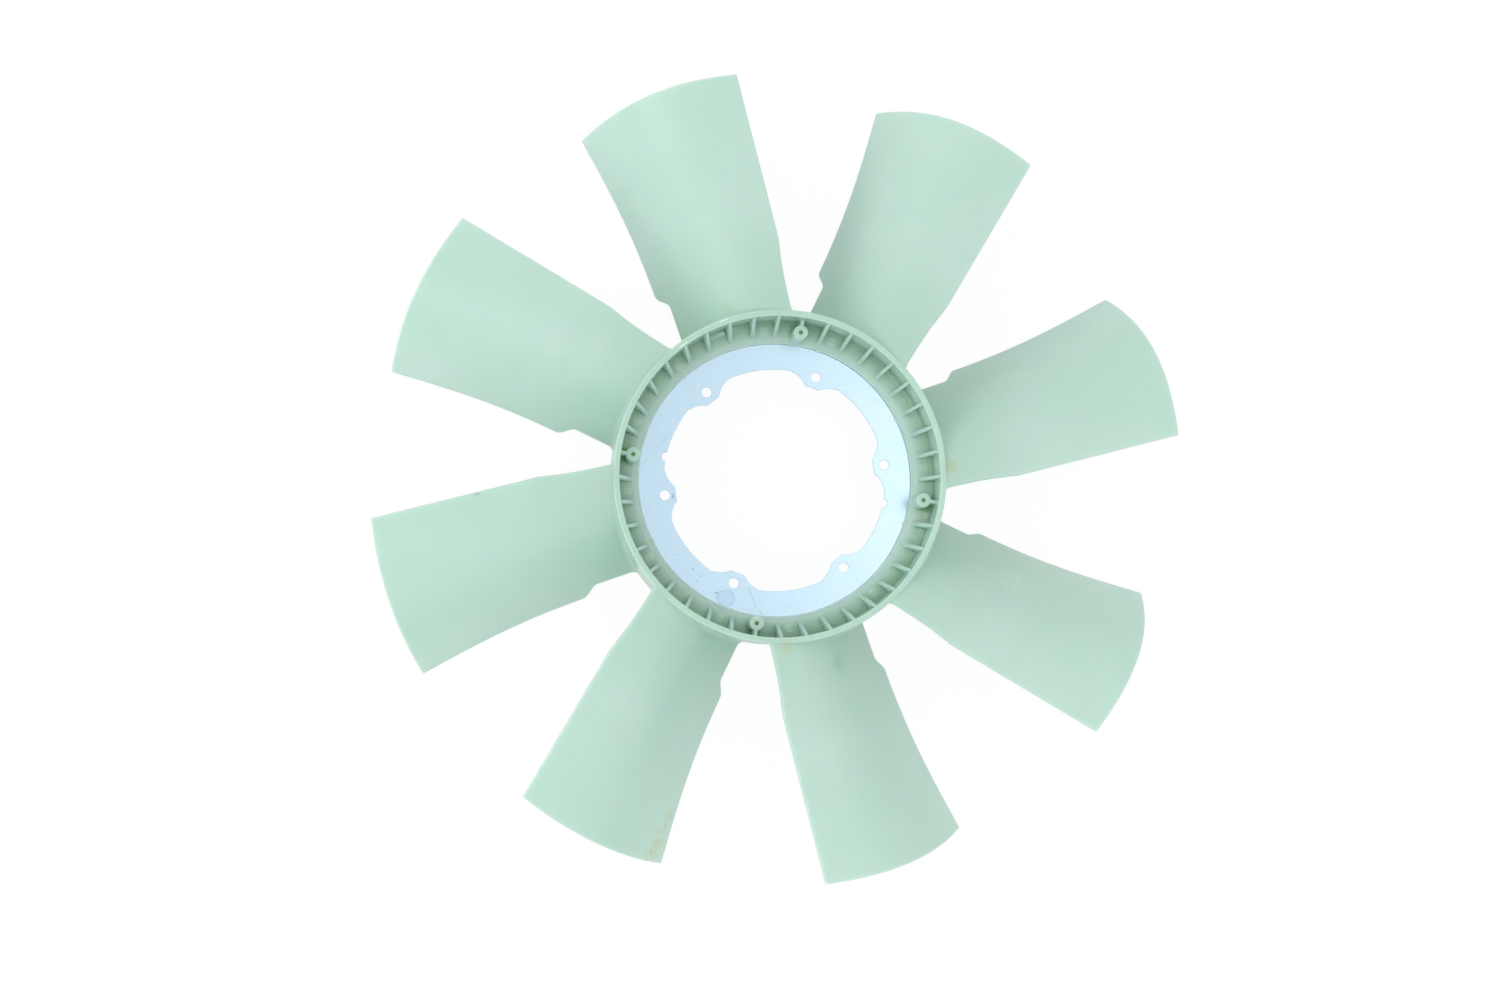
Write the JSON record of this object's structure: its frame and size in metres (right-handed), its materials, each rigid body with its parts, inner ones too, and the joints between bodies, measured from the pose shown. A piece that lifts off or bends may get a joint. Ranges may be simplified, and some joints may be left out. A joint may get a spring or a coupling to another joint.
{
  "type": "engine cooling fan",
  "caption": "Moulded plastic engine cooling fan with pitched, cambered blades on a ribbed hub ring and a steel mounting disc with a tabbed opening.",
  "frame": {"origin": "centre of the bolt circle on the steel disc's front face", "axes": "+Z along the fan's axis towards the front, which is the side with the ribs; +X and +Y across it, with the first bolt hole about 8 degrees round from +X"},
  "size_m": [0.7002, 0.7002, 0.097],
  "materials": {
    "moulded_polyamide": "pale mint green glass-filled polyamide, as moulded, satin",
    "zinc_plated_steel": "bright zinc-plated sheet steel with a cool blue tint, lightly scratched"
  },
  "bodies": {
    "root": {"fan_moulding": "moulded_polyamide", "steel_mounting_disc": "zinc_plated_steel"}
  },
  "joints": []
}
